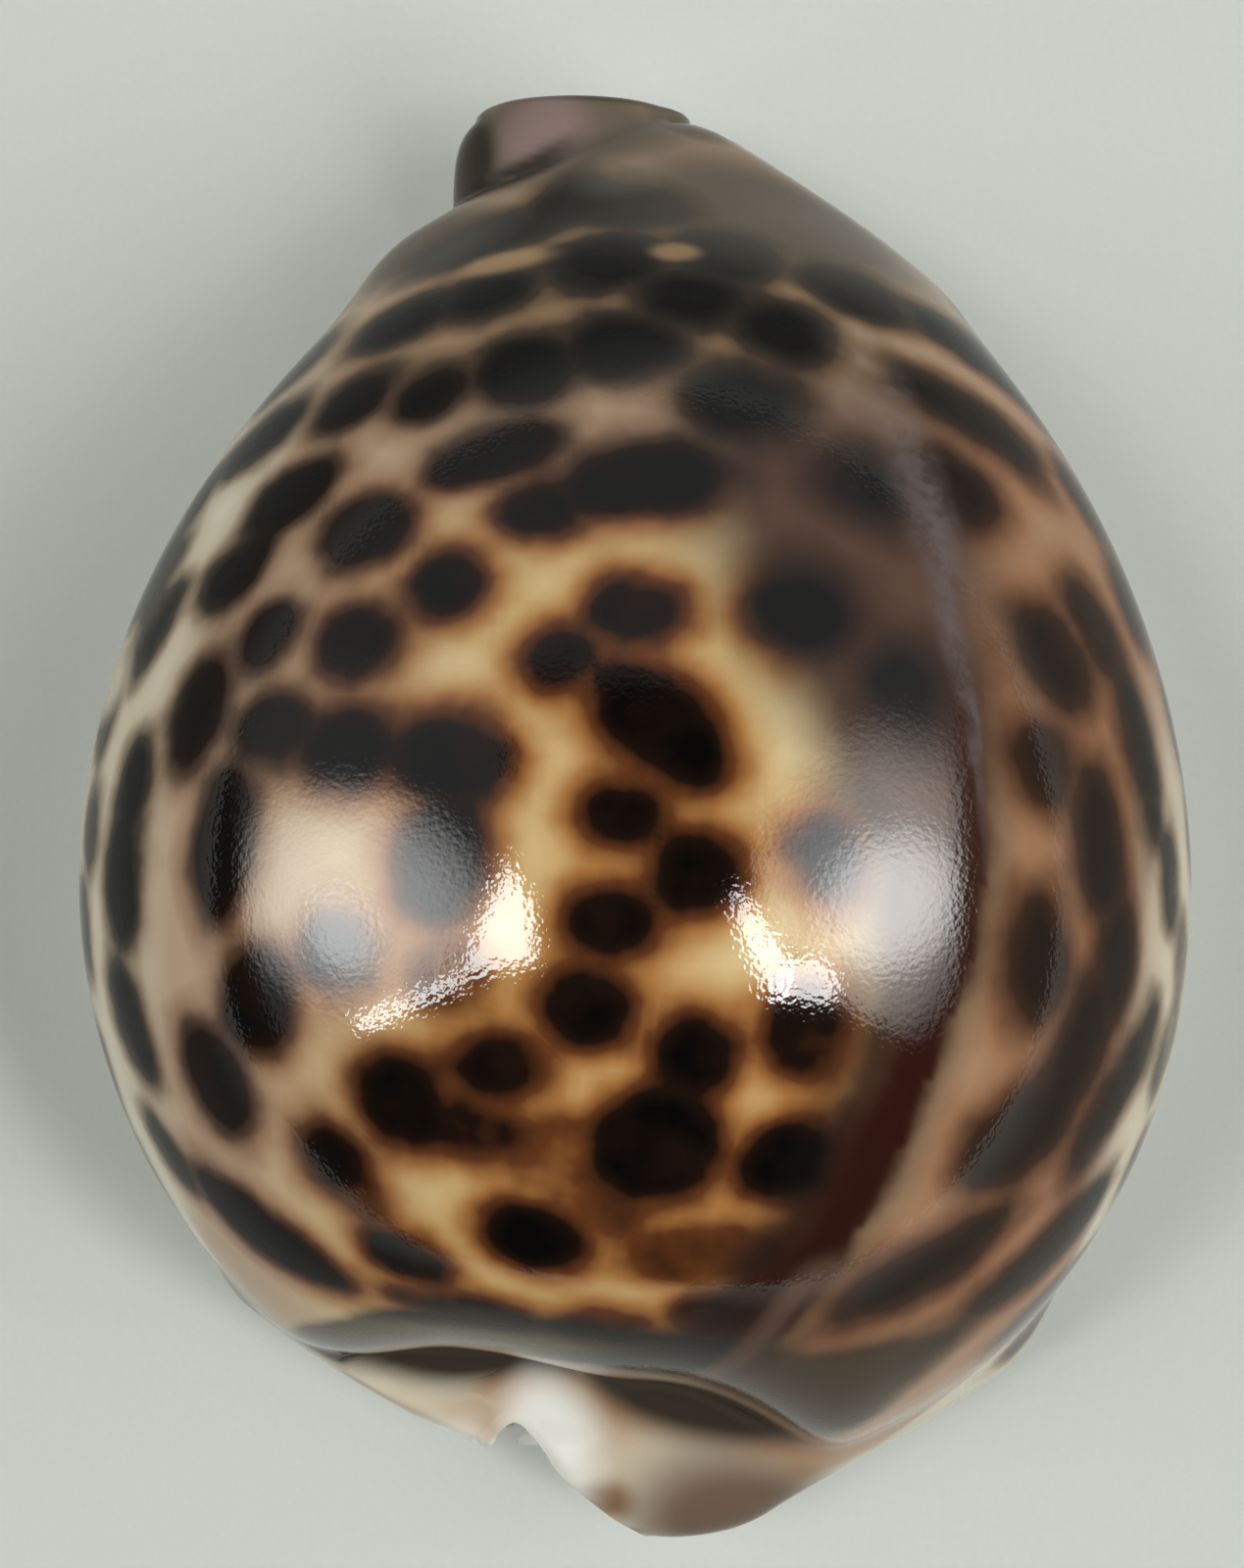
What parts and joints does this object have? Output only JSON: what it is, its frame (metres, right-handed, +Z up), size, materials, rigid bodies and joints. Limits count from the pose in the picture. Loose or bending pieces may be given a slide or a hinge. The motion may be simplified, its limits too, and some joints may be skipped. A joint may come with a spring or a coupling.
{
  "type": "cowrie shell",
  "caption": "Hollow humped sea shell lying on its flat base, with a narrow toothed slit underneath and a canal at each end.",
  "frame": {"origin": "on the surface the shell lies on, under the centre of its box", "axes": "+Y towards the narrow front end, +X towards the outer lip, +Z up through the humped back"},
  "size_m": [0.0619, 0.0843, 0.0479],
  "materials": {
    "spotted_glaze": "mirror-gloss enamel of a tiger cowrie: dark brown blurred spots on golden tan, cream margins, white base"
  },
  "bodies": {
    "root": {"shell": "spotted_glaze"}
  },
  "joints": []
}
